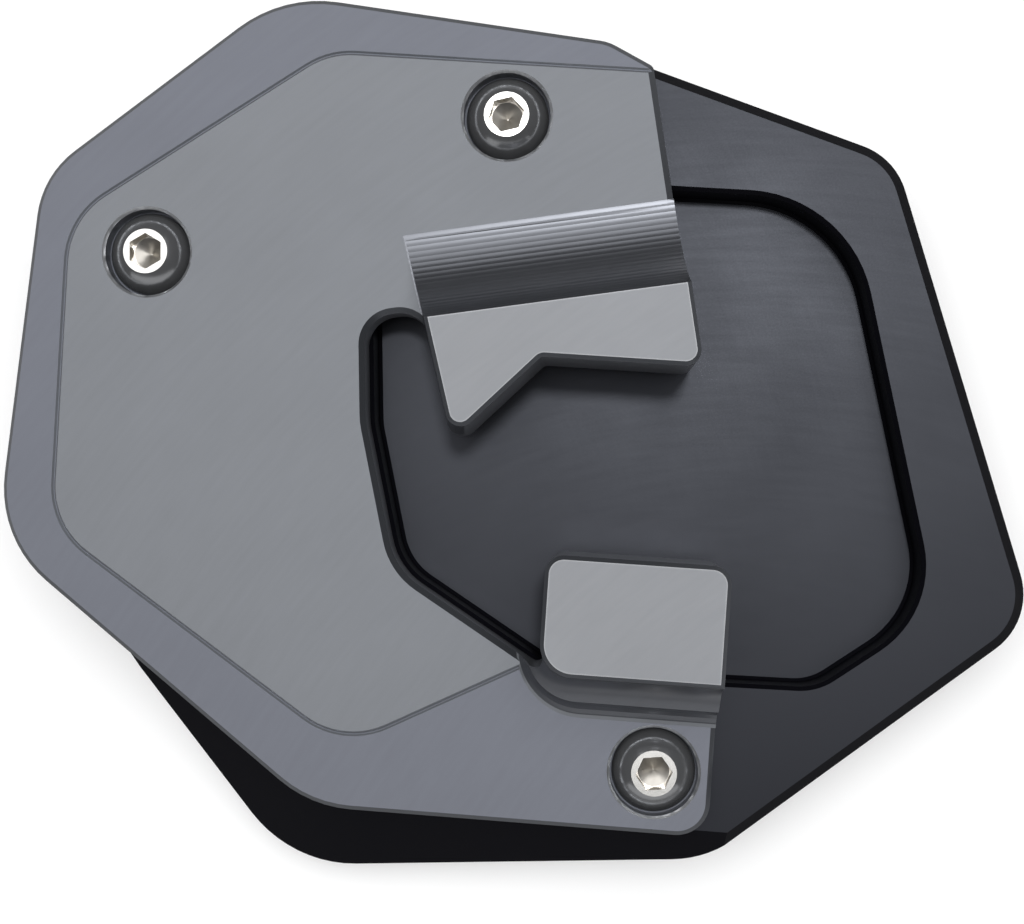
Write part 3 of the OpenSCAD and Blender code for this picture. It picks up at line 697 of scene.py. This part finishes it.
class ENLARGER_OT_screws(bpy.types.Operator):
    """Turns one button head screw, and puts a copy of it in each hole"""

    bl_idname = "enlarger.screws"
    bl_label = "Screws"

    def execute(self, context):
        screw = context.scene.enlarger_screw
        finish = context.scene.enlarger_finish
        # Turned is bright satin, broached bright and rougher, and the cold headed dome glossy, its steel
        # darkened as painted shade for the dark that it mirrors
        steels = [stainless_steel(name, finish.steel_grain, colour, metallic, smoothest, roughest)
                  for name, colour, metallic, smoothest, roughest in (
                      ("stainless_steel_turned", finish.turned_steel, 1.0, 0.2, 0.3),
                      ("stainless_steel_dome_painted_dark", finish.dome_steel_painted_dark, 0.6, 0.16, 0.24),
                      ("stainless_steel_broached", finish.broached_steel, 1.0, 0.25, 0.35))]
        master = turned_blank(screw)
        combine(master, thread_ridge(screw), "UNION")
        for tool in socket_tools(screw):
            combine(master, tool, "DIFFERENCE")
        select_only(master)
        bpy.ops.object.mode_set(mode="EDIT")
        bpy.ops.mesh.select_all(action="SELECT")
        bpy.ops.mesh.remove_doubles(threshold=CUT_GAP)
        bpy.ops.mesh.select_all(action="SELECT")
        bpy.ops.mesh.dissolve_degenerate(threshold=TURNED_GAP)
        bpy.ops.object.mode_set(mode="OBJECT")
        bpy.ops.object.shade_smooth_by_angle(angle=SCREW_SMOOTH_ANGLE)
        for steel in steels:
            master.data.materials.append(steel)
        sort_faces(master.data, screw)
        for name, twist in zip(SCREW_NODES, SCREW_TWISTS):
            low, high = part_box(name)
            piece = bpy.data.objects.new(name + "_finished", master.data.copy())
            context.scene.collection.objects.link(piece)
            piece.location = ((low[0] + high[0]) / 2, (low[1] + high[1]) / 2, high[2] - screw.head_height)
            piece.rotation_euler = (0, 0, math.radians(twist - HEXAGON_START))
            select_only(piece)
            bpy.ops.object.transform_apply(location=True, rotation=True, scale=True)
            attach(piece, "root")
            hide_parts(name)
        bpy.data.objects.remove(master)
        return {"FINISHED"}


def look_down(place, aim):
    """Turns a camera at PLACE to AIM, with +Y up in the picture."""
    back = (Vector(place) - Vector(aim)).normalized()
    right = Vector((0, 1, 0)).cross(back).normalized()
    up = back.cross(right)
    return Matrix((right, up, back)).transposed().to_euler()


def add_lamp(name, shape, place, aim, sizes, power):
    """Adds an area lamp that points at AIM, square on to it. Places, aims and sizes are in metres."""
    direction = Vector(aim) - Vector(place)
    bpy.ops.object.light_add(type="AREA", location=place,
                             rotation=direction.to_track_quat("-Z", "Y").to_euler())
    lamp = bpy.context.object
    lamp.name = name
    lamp.data.shape = shape
    lamp.data.size, lamp.data.size_y = sizes
    lamp.data.energy = power


class ENLARGER_OT_stage(bpy.types.Operator):
    """Adds the pale floor, the lamps and the camera"""

    bl_idname = "enlarger.stage"
    bl_label = "Stage"

    def execute(self, context):
        stage = context.scene.enlarger_stage
        bpy.ops.object.select_all(action="DESELECT")
        bpy.ops.mesh.primitive_plane_add(size=stage.floor_size, location=(0, 0, 0))
        floor = context.object
        floor.name = "floor"
        # Matt board spreads the light evenly, so that the floor shows no lamp
        material, tree = new_material("matt_white_board")
        shader = add(tree, "BsdfPrincipled",
                     {"Base Color": linear(stage.floor_white), "Roughness": 0.9,
                      "Specular IOR Level": 0.1})[0]
        add(tree, "OutputMaterial", {"Surface": shader})
        floor.data.materials.append(material)

        # The softbox hangs level, above and behind the part, and is what its level tops mirror. The key is
        # small, so that the bosses throw clear shadows, and the fill is a low strip in front
        part = (0.0, 0.0, 0.0)
        below_softbox = (0.0, 0.475, 0.0)
        add_lamp("softbox", "RECTANGLE", (0.0, 0.475, 1.0), below_softbox, (1.9, 1.35), stage.softbox_power)
        add_lamp("key", "DISK", (0.13, 0.25, 1.5), part, (0.16, 0.16), stage.key_power)
        add_lamp("fill_strip", "RECTANGLE", (0.0, -0.8, 0.25), part, (2.2, 0.32), stage.fill_power)

        world = bpy.data.worlds.new("dim_room")
        context.scene.world = world
        world.use_nodes = True
        background = world.node_tree.nodes["Background"]
        # White with a trace of blue, as the light that pale walls send back
        background.inputs["Color"].default_value = (1.0, 1.0, 1.03, 1.0)
        background.inputs["Strength"].default_value = stage.room

        bpy.ops.object.camera_add(location=stage.camera_place,
                                  rotation=look_down(stage.camera_place, stage.camera_aim))
        camera = context.object
        camera.data.sensor_fit = "HORIZONTAL"
        camera.data.lens = stage.focal_px * camera.data.sensor_width / IMAGE_WIDTH
        context.scene.camera = camera
        context.scene.view_settings.view_transform = "Standard"
        return {"FINISHED"}


class ENLARGER_PT_panel(bpy.types.Panel):
    """Lists the enlarger's sizes, colours and steps"""

    bl_idname = "ENLARGER_PT_panel"
    bl_label = "Kickstand Foot Enlarger"
    bl_space_type = "VIEW_3D"
    bl_region_type = "UI"
    bl_category = "Enlarger"

    def draw(self, context):
        scene = context.scene
        for group in (scene.enlarger_finish, scene.enlarger_screw, scene.enlarger_stage):
            for name in group.__annotations__:
                self.layout.prop(group, name)
        for operator in OPERATORS:
            self.layout.operator(operator.bl_idname)


OPERATORS = (ENLARGER_OT_base_plate, ENLARGER_OT_clamp_plate, ENLARGER_OT_screws, ENLARGER_OT_stage)
CLASSES = (EnlargerFinish, EnlargerScrew, EnlargerStage) + OPERATORS + (ENLARGER_PT_panel,)


def register():
    for cls in CLASSES:
        bpy.utils.register_class(cls)
    bpy.types.Scene.enlarger_finish = bpy.props.PointerProperty(type=EnlargerFinish)
    bpy.types.Scene.enlarger_screw = bpy.props.PointerProperty(type=EnlargerScrew)
    bpy.types.Scene.enlarger_stage = bpy.props.PointerProperty(type=EnlargerStage)


def unregister():
    del bpy.types.Scene.enlarger_stage
    del bpy.types.Scene.enlarger_screw
    del bpy.types.Scene.enlarger_finish
    for cls in reversed(CLASSES):
        bpy.utils.unregister_class(cls)


def main():
    register()
    bpy.ops.enlarger.base_plate()
    bpy.ops.enlarger.clamp_plate()
    bpy.ops.enlarger.screws()
    bpy.ops.enlarger.stage()


if __name__ == "__main__":
    main()
